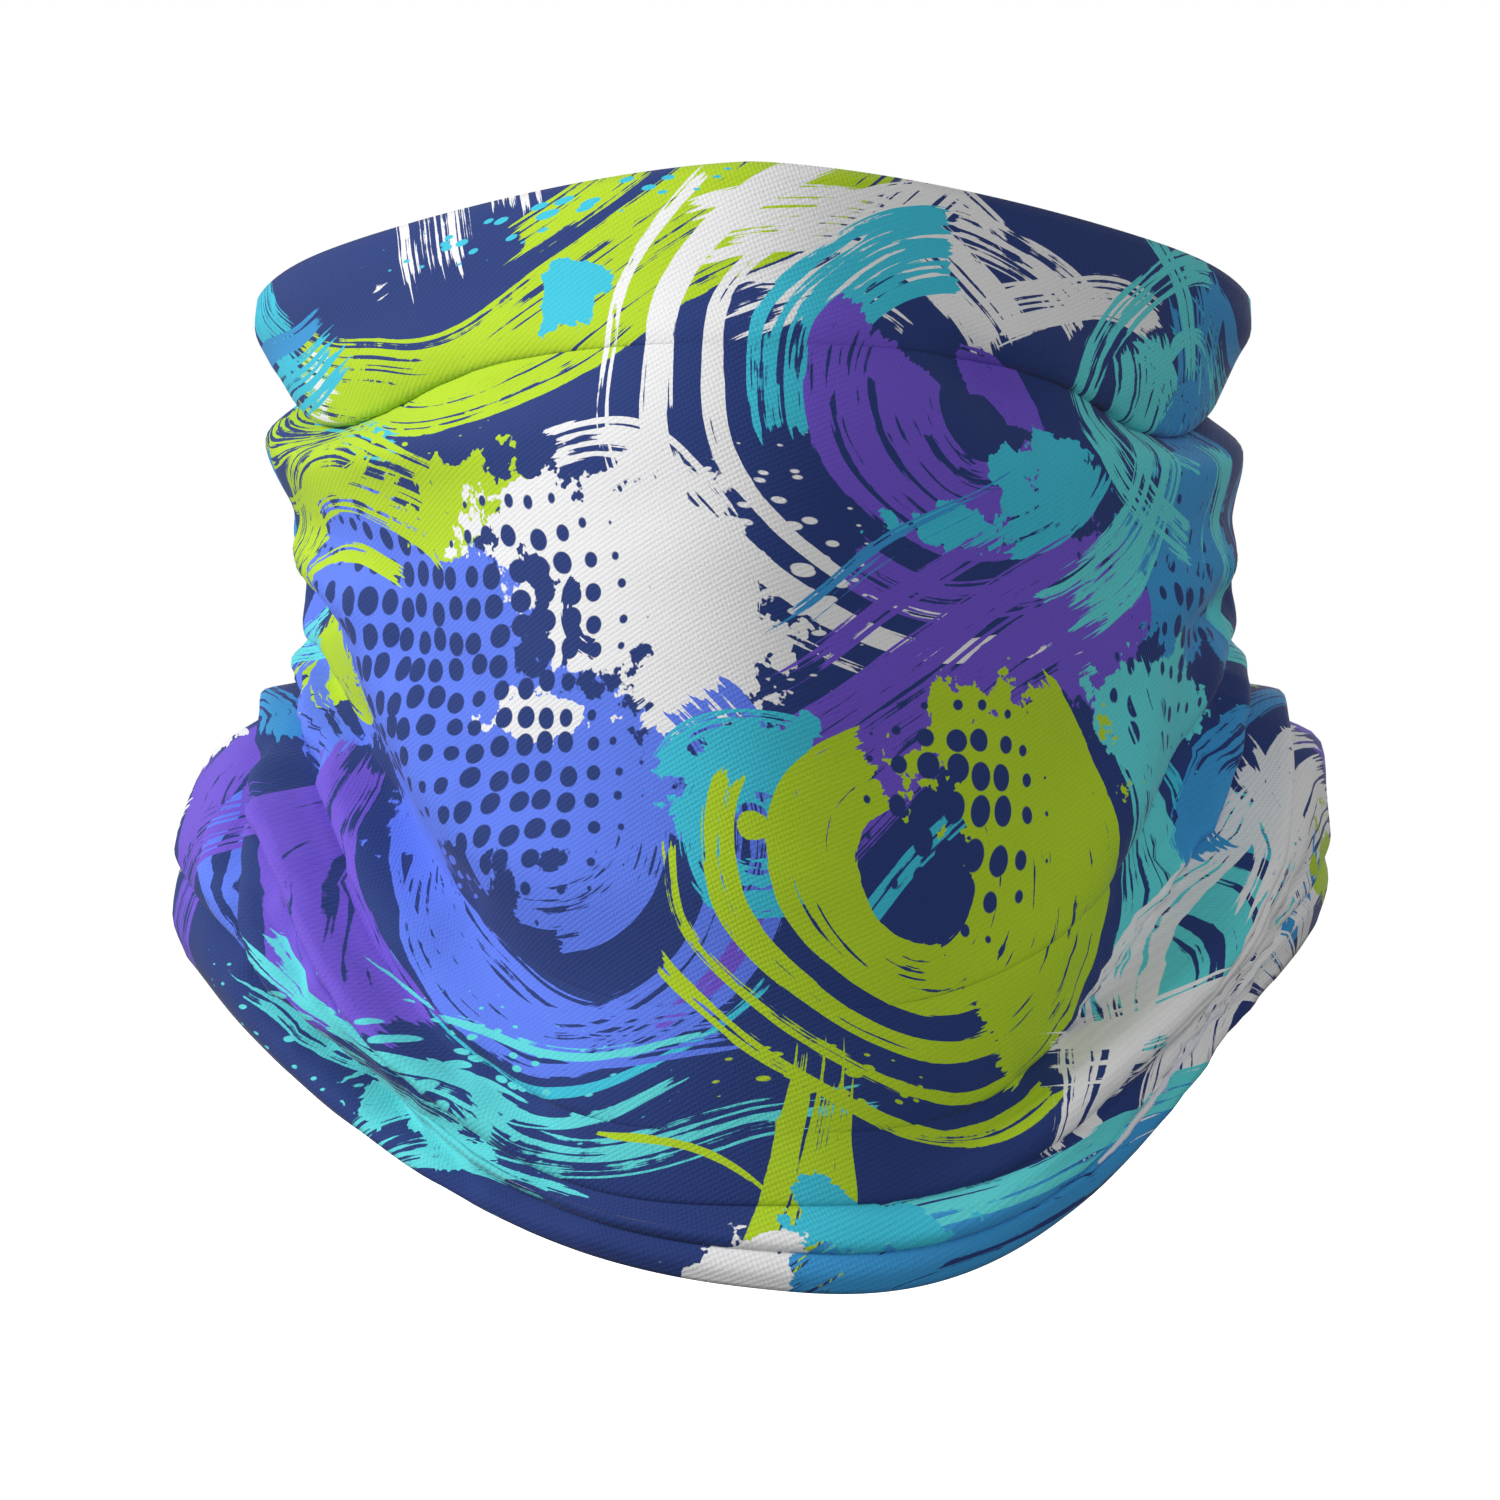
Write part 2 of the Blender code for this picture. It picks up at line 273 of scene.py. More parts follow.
RIDGES = (
    # The long slopes at both flanks.
    Ridge(4.6, 7.0, ((-68, 112), (-60, 104), (-53, 88), (-44, 71), (-28, 61))),
    Ridge(-5.6, 7.6, ((-71, 100), (-66, 89), (-54, 67), (-43, 52), (-26, 42))),
    Ridge(-4.4, 8.5, ((70, 96), (66, 70), (54, 44), (38, 26), (24, 16))),
    Ridge(3.0, 7.5, ((68, 100), (60, 78), (50, 56), (36, 40))),
    # The top band, and the cloth just under its edge.
    Ridge(-4.2, 5.5, ((27, 144), (33, 139), (40, 134), (50, 132))),
    Ridge(1.6, 6.0, ((22, 151), (34, 147), (48, 141))),
    Ridge(-1.8, 4.5, ((-68, 136), (-52, 135), (-40, 136), (-24, 139))),
    Ridge(2.0, 5.0, ((-68, 129), (-50, 128), (-36, 130))),
    Ridge(-1.6, 4.0, ((70, 135), (58, 133), (46, 133))),
    # The soft line down the centre front.
    Ridge(1.0, 16.0, ((0, 160), (1, 130), (2, 100), (3, 72))),
    # The gathers at both sides.
    Ridge(2.8, 3.6, ((-74, 117), (-70, 112), (-64, 108), (-56, 103))),
    Ridge(-3.0, 3.2, ((-75, 111), (-70, 106), (-62, 102))),
    Ridge(2.2, 4.5, ((79, 117), (75, 112), (68, 107), (60, 103))),
    Ridge(-2.2, 3.6, ((79, 108), (75, 104), (68, 100))),
    # The hanging lobes, inside out: broad folds, then creases with their lips.
    Ridge(3.4, 4.6, ((-86, 76), (-83, 64), (-74, 50), (-60, 38), (-44, 27))),
    Ridge(-4.0, 4.2, ((-84, 54), (-74, 42), (-60, 31), (-44, 21))),
    Ridge(3.8, 6.0, ((88, 74), (80, 56), (68, 42), (53, 30), (38, 20))),
    Ridge(-3.8, 5.0, ((86, 60), (78, 46), (64, 32), (48, 20))),
    Ridge(-4.2, 2.7, (
        (-74, 92), (-80, 78), (-81, 66), (-80, 55), (-75, 43), (-66, 33), (-55, 25),
    )),
    Ridge(3.4, 3.2, ((-73, 86), (-76, 77), (-77, 66), (-75, 55), (-70, 45), (-62, 36))),
    Ridge(-5.2, 2.9, (
        (-70, 98), (-72, 82), (-70, 70), (-65, 58), (-57, 46), (-45, 34), (-30, 25),
    )),
    Ridge(3.8, 3.6, ((-74, 86), (-73, 70), (-68, 57), (-60, 44), (-48, 31), (-34, 22))),
    Ridge(-3.4, 2.6, ((-70, 40), (-58, 27), (-44, 17), (-28, 11))),
    Ridge(-4.0, 2.7, (
        (77, 97), (75, 84), (71, 70), (66, 57), (56, 43), (44, 31), (32, 23),
    )),
    Ridge(2.4, 3.6, ((80, 88), (78, 74), (73, 60), (64, 46), (52, 34), (40, 25))),
    Ridge(-3.2, 2.6, ((88, 68), (84, 58), (77, 47), (67, 36), (54, 26))),
    Ridge(-1.8, 2.4, ((82, 48), (70, 35), (56, 23), (42, 15))),
)


def along_line(places):
    """Evenly spaced places on the line, with each one's share of the way along it."""
    places = np.array(places, float)
    lengths = lengths_along(places)
    stops = np.linspace(0, lengths[-1], int(lengths[-1] / RIDGE_STEP) + 2)
    line = np.stack([np.interp(stops, lengths, places[:, k]) for k in (0, 1)], axis=1)
    return line, stops / lengths[-1]


def add_ridges(points):
    """Moves the front of the cloth out or in along each ridge."""
    behind = (points[:, :, 1] >= RIDGE_FRONT).reshape(-1)
    flat = points[:, :, (0, 2)].reshape(-1, 2)
    raised = np.zeros(points.shape[:2])
    for ridge in RIDGES:
        line, share = along_line(ridge.places)
        near = np.argmin(((flat[None] - line[:, None]) ** 2).sum(2) + FAR * behind, axis=1)
        crest = points.reshape(-1, 3)[near]
        distance = np.linalg.norm(points[:, :, None] - crest, axis=3)
        inside = RIDGE_END_SHARE + (1 - 2 * RIDGE_END_SHARE) * share
        fade = np.sin(pi * inside) ** RIDGE_FADE_POWER
        strength = fade * np.exp(-((distance / ridge.width) ** 2))
        raised += ridge.height * strength.max(axis=2)
    return points + outward(points) * raised[:, :, None]


# Wrinkles are smooth noise: how high it is, how many turns it has to a millimetre round and down
# the cloth, and where in the noise it starts.
Wrinkles = namedtuple("Wrinkles", "height round down start")
BROAD_WRINKLES = Wrinkles(0.9, 0.02, 0.045, 7)
FINE_WRINKLES = Wrinkles(0.25, 0.05, 0.13, 31)
# The fine ones are higher where the cloth is gathered at the sides, about this level.
GATHER_HEIGHT = 0.7
GATHER_LEVEL = 98
GATHER_REACH = 26
# They start below the rim and fade out before the seam.
RIM_ROWS = 6
SEAM_FADE = 12


def wrinkle(kind, place):
    x, y, z = place
    return noise.noise(Vector((x * kind.round, y * kind.round, z * kind.down + kind.start)))


def add_wrinkles(points):
    """Small irregular wrinkles, longer round the cloth than down it, strongest in the gathers."""
    side = np.abs(np.sin(np.linspace(-pi, pi, points.shape[1])))
    gather = side * np.exp(-(((points[:, :, 2] - GATHER_LEVEL) / GATHER_REACH) ** 2))
    broad, fine = (
        np.array([[wrinkle(kind, place) for place in row] for row in points])
        for kind in (BROAD_WRINKLES, FINE_WRINKLES)
    )
    raised = BROAD_WRINKLES.height * broad + (FINE_WRINKLES.height + GATHER_HEIGHT * gather) * fine
    rim = np.clip(np.arange(len(points)) / RIM_ROWS, 0, 1)[:, None]
    seam = np.clip((points[:, :, 1].max() - points[:, :, 1]) / SEAM_FADE, 0, 1)
    return points + outward(points) * (raised * rim * seam)[:, :, None]


def drape():
    """The cloth's middle surface as a grid of places from the top rim down, sized to the frame.

    The second grid is the same cloth before its creases and wrinkles, which the print is laid out on.
    """
    slit = SEAM_SLIT / 2 / DRAPE[0].half_width
    angles = np.linspace(slit - pi, pi - slit, COLUMNS + 1)
    rings = []
    for step in DRAPE:
        rings += fold_rings(step, angles) if isinstance(step, Fold) else [ring_points(step, angles)]
    smooth = loft(np.array(rings))
    points = add_wrinkles(add_ridges(smooth))
    low, high = (np.array(corner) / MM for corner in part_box("fabric_panel"))
    half = CLOTH_THICKNESS / 2
    mine_low, mine_high = points.min(axis=(0, 1)) - half, points.max(axis=(0, 1)) + half
    scale = (high - low) / (mine_high - mine_low)
    return (points - mine_low) * scale + low, (smooth - mine_low) * scale + low


def cloth_lengths(points):
    """How far round the cloth from its centre front and how far down from its rim each place is.

    The way round is measured on the row a third of the way down.
    """
    around = lengths_along(points[len(points) // 3])
    around -= around[-1] / 2
    steps = np.linalg.norm(np.diff(points, axis=0), axis=2)
    down = np.concatenate([np.zeros((1, points.shape[1])), np.cumsum(steps, axis=0)])
    return np.broadcast_to(around, down.shape), down


# ---- node trees in short form


class Web:
    """A node tree written as expressions: each call adds a node and returns one of its outputs."""

    def __init__(self, tree):
        self.tree = tree

    def node(self, kind, inputs=(), **settings):
        node = self.tree.nodes.new("ShaderNode" + kind)
        for name, setting in settings.items():
            setattr(node, name, setting)
        for name, value in dict(inputs).items():
            self.feed(node.inputs[name], value)
        return node

    def add(self, kind, inputs=(), output=0, **settings):
        return self.node(kind, inputs, **settings).outputs[output]

    def feed(self, socket, value):
        if isinstance(value, bpy.types.NodeSocket):
            self.tree.links.new(value, socket)
        else:
            socket.default_value = value

    def math(self, operation, *values, clamp=False):
        return self.add("Math", enumerate(values), operation=operation, use_clamp=clamp)

    def vector(self, operation, *values):
        """Arithmetic on vectors, where a plain number stands for itself three times."""
        triples = [(value,) * 3 if isinstance(value, (int, float)) else value for value in values]
        return self.add("VectorMath", enumerate(triples), operation=operation)

    def length(self, x, y):
        """The length of a flat vector."""
        flat = self.add("CombineXYZ", {"X": x, "Y": y})
        return self.add("VectorMath", {0: flat}, "Value", operation="LENGTH")

    def spread(self, value):
        """A vector that holds the value three times.

        The renderer's own conversion comes so late in the shader that a long one runs out of room.
        """
        return self.add("CombineXYZ", {"X": value, "Y": value, "Z": value})

    def split(self, vector):
        return self.node("SeparateXYZ", {0: vector}).outputs

    def positive(self, value, sharpness):
        """0 where the value is below zero and 1 where it is above, with a narrow soft edge."""
        return self.math("MULTIPLY_ADD", value, sharpness, 0.5, clamp=True)

    def wave(self, value, pitch):
        """A sine wave from -1 to 1 that repeats every pitch of the value."""
        return self.math("SINE", self.math("MULTIPLY", value, 2 * pi / pitch))

    def noise(self, place, scale, detail=2.0, roughness=0.5, dimensions="3D", output="Fac"):
        inputs = {"Vector": place, "Scale": scale, "Detail": detail, "Roughness": roughness}
        return self.add("TexNoise", inputs, output, noise_dimensions=dimensions)

    def cells(self, place, randomness):
        """How far a place is from the middle of its cell, in a grid of cells set 1 apart."""
        inputs = {"Vector": place, "Scale": 1.0, "Randomness": randomness}
        return self.add("TexVoronoi", inputs, "Distance", voronoi_dimensions="2D")

    def mix(self, share, below, above):
        """below where share is 0 and above where it is 1."""
        node = self.node("Mix", {"Factor": share}, data_type="RGBA")
        for name, colour in (("A", below), ("B", above)):
            socket = next(s for s in node.inputs if s.name == name and s.type == "RGBA")
            self.feed(socket, colour)
        return next(s for s in node.outputs if s.type == "RGBA")

    def uv(self):
        """The place on the surface, in millimetres."""
        return self.add("UVMap", output="UV", uv_map=UV_MAP)

    def bump(self, height, strength, relief):
        """The surface's direction with this relief, in millimetres, for each unit of height."""
        return self.add("Bump", {"Height": height, "Strength": strength, "Distance": relief * MM})

    def use(self, group, inputs):
        """Adds a node group and returns its outputs."""
        return self.node("Group", inputs, node_tree=group).outputs


FLOAT_SOCKETS = ("Stretch", "Seed", "Width", "Height", "Inside", "First", "Second", "Third")


def new_group(name, inputs, outputs):
    """An empty node group: its web, what comes in and what goes out."""
    tree = bpy.data.node_groups.new(name, "ShaderNodeTree")
    for side, names in (("INPUT", inputs), ("OUTPUT", outputs)):
        for socket in names:
            kind = "NodeSocketFloat" if socket in FLOAT_SOCKETS else "NodeSocketVector"
            tree.interface.new_socket(socket, in_out=side, socket_type=kind)
    source = tree.nodes.new("NodeGroupInput").outputs
    sink = tree.nodes.new("NodeGroupOutput").inputs
    return Web(tree), source, sink


def new_material(name, roughness):
    """An empty material with a principled shader: its web, the shader's inputs and the material."""
    made = bpy.data.materials.new(name)
    made.use_nodes = True
    inputs = made.node_tree.nodes["Principled BSDF"].inputs
    inputs["Roughness"].default_value = roughness
    return Web(made.node_tree), inputs, made


def linear(colour):
    """A screen colour of 0 to 255 as the light values that shaders use, with full opacity."""
    shares = [channel / 255 for channel in colour]
    return (*(s / 12.92 if s < 0.04045 else ((s + 0.055) / 1.055) ** 2.4 for s in shares), 1.0)


# ---- the print

# The print is an abstract one of brush swirls, blots, dots and flecks, painted layer on layer over
# navy. Its places are millimetres on the cloth: u round from the centre front to the viewer's
# right, v up from the top rim. It repeats twice round the cloth.
NAVY = linear((36, 57, 118))
LIME = linear((176, 209, 38))
TURQUOISE = linear((92, 210, 214))
CYAN = linear((60, 190, 214))
SKY = linear((56, 148, 208))
PERIWINKLE = linear((92, 122, 232))
PURPLE = linear((110, 82, 202))
WHITE = linear((232, 232, 233))

# A swirl is a set of brush bands round one centre, stretched sideways. A band lies between two
# radii, runs anticlockwise from a start angle over a sweep (degrees, 0 to the right), and lets
# more of the cloth show between its bristle lines the drier it is. Each row in a swirl is a band.
Swirl = namedtuple("Swirl", "u v stretch bands")
Band = namedtuple("Band", "colour inner outer start sweep dry")
# A blot is a ragged patch.
Blot = namedtuple("Blot", "colour u v width height ragged")
# Dots of the ground colour shrink away from their centre. Flecks are short dashes.
Dots = namedtuple("Dots", "colour u v reach size")
Flecks = namedtuple("Flecks", "colour u v width height")

PRINT = (
    Blot(PERIWINKLE, -74, -68, 34, 22, 0.8),
    Blot(PERIWINKLE, -46, -92, 40, 17, 0.8),
    Blot(SKY, 92, -58, 28, 17, 0.9),
    Blot(PURPLE, 60, -68, 13, 15, 1.2),
    Blot(TURQUOISE, 80, -80, 22, 9, 1.2),
    Dots(NAVY, -72, -70, 34, 1.0),
    Dots(NAVY, 94, -62, 22, 0.8),
    Dots(NAVY, 74, -82, 16, 0.8),
    Swirl(-62, 50, 1.15, (
        (LIME, 66, 88, 232, 100, 0.8),
        (CYAN, 66, 82, 204, 44, 0.9),
        (WHITE, 70, 84, 236, 20, 0.6),
        (WHITE, 86, 97, 296, 40, 0.9),
        (LIME, 56, 66, 280, 36, 1.0),
        (CYAN, 84, 92, 216, 60, 1.2),
        (NAVY, 73, 74.2, 244, 84, 0.6),
        (NAVY, 79.5, 80.6, 250, 70, 0.6),
        (NAVY, 84.5, 85.4, 240, 70, 0.7),
    )),
    Swirl(-114, 70, 1.35, (
        (SKY, 78, 84, 238, 50, 0.7),
        (CYAN, 83, 96, 236, 56, 1.15),
        (WHITE, 82, 88, 286, 14, 0.9),
    )),
    Swirl(-128, -26, 1.0, (
        (WHITE, 66, 84, 5, 42, 1.3),
        (WHITE, 86, 97, 8, 30, 1.3),
    )),
    Blot(CYAN, -30, -19, 7, 5, 1.3),
    Swirl(8, -62, 1.1, (
        (WHITE, 45, 58, 46, 70, 0.8),
        (WHITE, 60, 67, 56, 54, 1.1),
        (WHITE, 38, 43, 62, 50, 1.1),
    )),
    Swirl(64, -46, 1.25, (
        (WHITE, 30, 40, 60, 74, 1.0),
        (TURQUOISE, 26, 34, 20, 60, 1.1),
    )),
    Swirl(36, -34, 1.32, (
        (WHITE, 37.0, 42.5, 84, 212, 0.5),
        (WHITE, 31.5, 35.5, 96, 176, 0.6),
        (WHITE, 44, 48, 130, 130, 1.3),
        (CYAN, 17, 31, 96, 110, 0.9),
        (PURPLE, 6, 25, 140, 200, 0.75),
        (PURPLE, 26, 36, 225, 84, 1.0),
        (PURPLE, 3, 13, 340, 130, 0.5),
        (CYAN, 13, 26, 272, 74, 0.6),
        (WHITE, 22, 32, 36, 76, 1.1),
        (TURQUOISE, 28, 42, 276, 120, 1.0),
        (SKY, 42, 60, 318, 84, 1.0),
        (TURQUOISE, 44, 50, 8, 90, 1.0),
        (NAVY, 20, 22.5, 180, 130, 0.5),
        (NAVY, 15, 17.5, 170, 95, 0.4),
        (NAVY, 9, 12, 200, 120, 0.4),
        (NAVY, 30, 32, 236, 80, 0.4),
        (TURQUOISE, 50, 53, 300, 90, 1.2),
    )),
    Blot(CYAN, 48, -44, 11, 7, 1.5),
    Blot(CYAN, 30, -52, 9, 3, 2.2),
    Swirl(98, -28, 1.2, (
        (TURQUOISE, 22, 32, 80, 190, 1.2),
        (TURQUOISE, 12, 17, 40, 230, 1.2),
        (SKY, 2, 9, 0, 350, 0.9),
    )),
    Swirl(-84, -92, 1.05, (
        (LIME, 40, 58, 52, 92, 1.15),
        (LIME, 32, 37, 70, 70, 1.0),
    )),
    Swirl(-104, 14, 1.05, (
        (LIME, 40, 54, 232, 84, 1.2),
        (LIME, 58, 64, 240, 66, 1.2),
    )),
    Flecks(LIME, -78, -34, 36, 9),
    Blot(LIME, -54, -48, 17, 6, 1.4),
    Blot(LIME, -112, -74, 12, 7, 1.6),
    Swirl(-98, -66, 1.0, (
        (LIME, 8, 18, 90, 220, 0.9),
        (PERIWINKLE, 20, 32, 150, 120, 1.0),
    )),
    Blot(WHITE, -22, -62, 19, 15, 0.9),
    Blot(WHITE, -12, -77, 12, 12, 1.5),
    Blot(WHITE, -37, -52, 16, 6, 1.4),
    Blot(WHITE, -40, -83, 9, 4, 2.2),
    Swirl(-28, -66, 1.0, (
        (WHITE, 15, 25, 286, 110, 0.9),
        (NAVY, 4, 9, 120, 150, 0.8),
        (WHITE, 20, 28, 20, 90, 1.2),
    )),
    Dots(NAVY, -42, -66, 24, 1.0),
    Flecks(WHITE, 2, -62, 15, 22),
    Swirl(-36, -102, 1.15, (
        (PERIWINKLE, 6, 19, 240, 180, 0.8),
        (NAVY, 14, 25, 172, 112, 0.6),
        (PERIWINKLE, 24, 36, 160, 250, 0.85),
        (CYAN, 35, 39, 200, 130, 1.2),
        (PURPLE, 29, 34, 285, 60, 1.1),
        (TURQUOISE, 39, 43, 232, 70, 1.3),
        (NAVY, 27.6, 28.8, 190, 170, 0.6),
        (NAVY, 31.6, 32.6, 200, 150, 0.6),
        (NAVY, 21.5, 23, 284, 60, 0.4),
    )),
    Flecks(PERIWINKLE, -58, -104, 14, 12),
    Dots(NAVY, -44, -94, 26, 0.95),
    Swirl(-16, -80, 1.25, (
        (PERIWINKLE, 46, 58, 184, 100, 1.15),
        (PURPLE, 60, 76, 180, 62, 0.8),
        (PERIWINKLE, 78, 84, 186, 50, 1.2),
        (TURQUOISE, 64, 72, 238, 60, 1.3),
        (PURPLE, 84, 94, 180, 34, 0.9),
        (WHITE, 62, 66, 214, 16, 1.3),
    )),
    Swirl(104, -192, 1.0, (
        (PURPLE, 124, 148, 102, 44, 0.95),
        (PURPLE, 150, 157, 108, 32, 1.1),
        (CYAN, 116, 122, 112, 36, 1.2),
        (SKY, 158, 164, 104, 34, 1.2),
    )),
    Swirl(-20, -178, 1.0, (
        (PURPLE, 104, 118, 130, 44, 1.0),
    )),
    Blot(CYAN, -2, -94, 13, 7, 1.6),
    Swirl(-2, -104, 1.0, (
        (CYAN, 3, 13, 40, 290, 0.9),
        (CYAN, 15, 21, 50, 100, 1.2),
    )),
    Swirl(24, -106, 1.16, (
        (TURQUOISE, 40, 58, 314, 92, 0.95),
        (LIME, 9, 38, 292, 130, 0.55),
        (LIME, 8, 22, 110, 200, 0.45),
        (LIME, 24, 30, 150, 160, 0.6),
        (LIME, 32, 36, 170, 150, 0.8),
        (LIME, 37.5, 42, 196, 120, 0.8),
        (CYAN, 58, 64, 320, 70, 1.2),
        (NAVY, 15.5, 17.5, 200, 110, 0.5),
        (NAVY, 29, 31.5, 316, 60, 0.7),
        (NAVY, 19.5, 20.6, 216, 90, 0.6),
        (NAVY, 12.5, 13.6, 230, 120, 0.6),
        (TURQUOISE, 62, 70, 320, 60, 1.2),
    )),
    Blot(LIME, 44, -90, 20, 11, 1.2),
    Dots(NAVY, 32, -97, 20, 1.0),
    Blot(LIME, -2, -103, 2.4, 2.4, 0.3),
    Swirl(-118, -128, 1.0, (
        (LIME, 118, 146, 334, 28, 0.7),
        (CYAN, 146, 152, 338, 20, 1.1),
    )),
    Flecks(LIME, 6, -140, 24, 6),
    Swirl(-40, -186, 1.2, (
        (TURQUOISE, 26, 40, 60, 100, 1.45),
        (TURQUOISE, 16, 22, 60, 110, 1.3),
        (LIME, 42, 44.5, 30, 50, 0.6),
    )),
    Swirl(-30, -44, 1.15, (
        (TURQUOISE, 96, 112, 230, 42, 1.5),
        (TURQUOISE, 88, 92, 236, 52, 1.3),
        (PURPLE, 92, 110, 204, 27, 0.95),
        (NAVY, 99, 101, 200, 40, 0.7),
    )),
    Flecks(TURQUOISE, -64, -140, 48, 15),
    Blot(TURQUOISE, -50, -153, 16, 5, 1.6),
    Swirl(150, -206, 1.0, (
        (WHITE, 86, 106, 96, 68, 0.85),
        (WHITE, 110, 120, 104, 56, 1.0),
        (WHITE, 74, 80, 104, 60, 1.1),
    )),
    Swirl(20, -58, 1.1, (
        (WHITE, 84, 98, 304, 40, 1.05),
        (SKY, 100, 108, 300, 34, 1.1),
    )),
    Swirl(58, -262, 1.0, (
        (WHITE, 120, 136, 48, 50, 1.05),
        (SKY, 88, 112, 50, 80, 0.6),
        (TURQUOISE, 106, 114, 66, 60, 0.95),
        (NAVY, 98, 101, 56, 62, 0.7),
    )),
    Swirl(-138, -118, 1.0, (
        (WHITE, 14, 24, 60, 240, 0.9),
        (SKY, 28, 38, 40, 130, 1.0),
    )),
    Blot(LIME, -140, -120, 9, 6, 1.4),
    Swirl(-126, -44, 1.0, (
        (TURQUOISE, 20, 30, 150, 150, 1.0),
        (SKY, 4, 13, 60, 200, 1.1),
    )),
    Blot(CYAN, 12, -161, 11, 5, 1.4),
    Blot(WHITE, -3, -168, 8, 6, 1.5),
    Flecks(CYAN, -36, -4, 40, 5),
)

PRINT_REPEATS = 2
DRIFT_PITCH = 55
DRIFT = 13
RAGGED_PITCH = 8.5
# Brush bands: a bristle's width and how far it changes round a turn, how wide a band's ragged edges
# are, its ragged ends in degrees, its paint there, what its middle has more, and what dry or torn
# places have less.
BRISTLE = 0.8
BRISTLE_TURN = 1.3
BRISTLE_SEED_STEP = 17.3
EDGE_WIDTH = 1.4
END_SWEEP = 11
THIN_PAINT = 0.2
FULL_PAINT = 0.58
DRY_LOSS = 0.2
TORN_PAINT = 0.3
BAND_SHARPNESS = 40
# Patches: dots and flecks lie in the middles of scattered cells, and their radii are shares of a cell.
PATCH_SHARPNESS = 25
DOT_SPACING = 4.9
DOT_SCATTER = 0.3
DOT_RADIUS = 0.4
DOT_GROWTH = 1.8
FLECK_LENGTH = 6.5
FLECK_PITCH = 2.6
FLECK_TILT = -24
FLECK_SCATTER = 1.0
FLECK_RADIUS = 0.34


def from_centre(web, source, repeat):
    """How far to the right of a layer's centre a place is, in the nearest repeat, and how far above."""
    across, up, _ = web.split(web.vector("SUBTRACT", source["Place"], source["Centre"]))
    return web.math("WRAP", across, repeat / 2, -repeat / 2), up


def swirl_group(repeat):
    """Polar places round a centre, and the bristle lines of a brush that turns about it."""
    web, source, sink = new_group(
        "swirl", ("Place", "Centre", "Stretch", "Seed"), ("Radius", "Turn", "Bristles")
    )
    across, up = from_centre(web, source, repeat)
    across = web.math("DIVIDE", across, source["Stretch"])
    radius = web.length(across, up)
    heading = web.vector("NORMALIZE", web.add("CombineXYZ", {"X": across, "Y": up}))
    east, north, _ = web.split(web.vector("MULTIPLY", heading, BRISTLE_TURN))
    layer = web.math("MULTIPLY_ADD", radius, 1 / BRISTLE, source["Seed"])
    round_the_circle = web.add("CombineXYZ", {"X": east, "Y": north, "Z": layer})
    turn = web.math("DIVIDE", web.math("ARCTAN2", up, across), 2 * pi)
    web.feed(sink["Radius"], web.spread(radius))
    web.feed(sink["Turn"], web.spread(turn))
    web.feed(sink["Bristles"], web.spread(web.noise(round_the_circle, 1.0, 2.0, 0.55)))
    return web.tree


def trio_group():
    """Where three brush bands cover the cloth: full along their middles, bristly at edges and ends.

    Each vector holds one value for each of the three bands, which keeps the print quick to render.
    """
    web, source, sink = new_group(
        "brush_trio",
        ("Radius", "Turn", "Bristles", "Inners", "Outers", "Starts", "Sweeps", "Paints"),
        ("First", "Second", "Third"),
    )
    side = web.vector(
        "MINIMUM",
        web.vector("SUBTRACT", source["Radius"], source["Inners"]),
        web.vector("SUBTRACT", source["Outers"], source["Radius"]),
    )
    turned = web.vector("FRACTION", web.vector("SUBTRACT", source["Turn"], source["Starts"]))
    end = web.vector("MINIMUM", turned, web.vector("SUBTRACT", source["Sweeps"], turned))
    full = web.vector(
        "MINIMUM",
        web.vector("MULTIPLY", side, 1 / EDGE_WIDTH),
        web.vector("MULTIPLY", end, 360 / END_SWEEP),
    )
    full = web.vector("MINIMUM", full, 1)
    paint = web.vector("MULTIPLY_ADD", full, FULL_PAINT, source["Paints"])
    cover = web.vector("SUBTRACT", paint, source["Bristles"])
    cover = web.vector("MULTIPLY_ADD", cover, BAND_SHARPNESS, 0.5)
    for socket, share in zip(sink, web.split(cover)):
        web.feed(socket, share)
    return web.tree


def patch_group(repeat):
    """How far inside an ellipse a place is: 1 at its centre, 0 on its outline, negative outside."""
    web, source, sink = new_group("patch", ("Place", "Centre", "Width", "Height"), ("Inside",))
    across, up = from_centre(web, source, repeat)
    distance = web.length(
        web.math("DIVIDE", across, source["Width"]), web.math("DIVIDE", up, source["Height"])
    )
    web.feed(sink["Inside"], web.math("SUBTRACT", 1.0, distance))
    return web.tree


# The print is split into zones, each with a material that holds only the layers that reach it.
Zone = namedtuple("Zone", "middle low high")
ZONES_ROUND = 9
ZONES_DOWN = 5
SAMPLE_STEP = 6.0
RAGGED_REACH = 0.8


def print_zones(repeat, depth):
    """The zones of one repeat, row by row: the u in each one's middle and its lowest and highest v."""
    width, height = repeat / ZONES_ROUND, depth / ZONES_DOWN
    return [
        Zone((column + 0.5) * width, -(row + 1) * height, -row * height)
        for row in range(ZONES_DOWN)
        for column in range(ZONES_ROUND)
    ]


def offsets(zone, repeat, layer):
    """Places all over the zone and its surroundings, as offsets from the layer's centre."""
    reach = repeat / ZONES_ROUND / 2 + DRIFT / 2
    u = np.arange(-reach, reach + SAMPLE_STEP, SAMPLE_STEP) + zone.middle - layer.u
    v = np.arange(zone.low - DRIFT / 2, zone.high + DRIFT / 2 + SAMPLE_STEP, SAMPLE_STEP) - layer.v
    return np.meshgrid((u + repeat / 2) % repeat - repeat / 2, v)


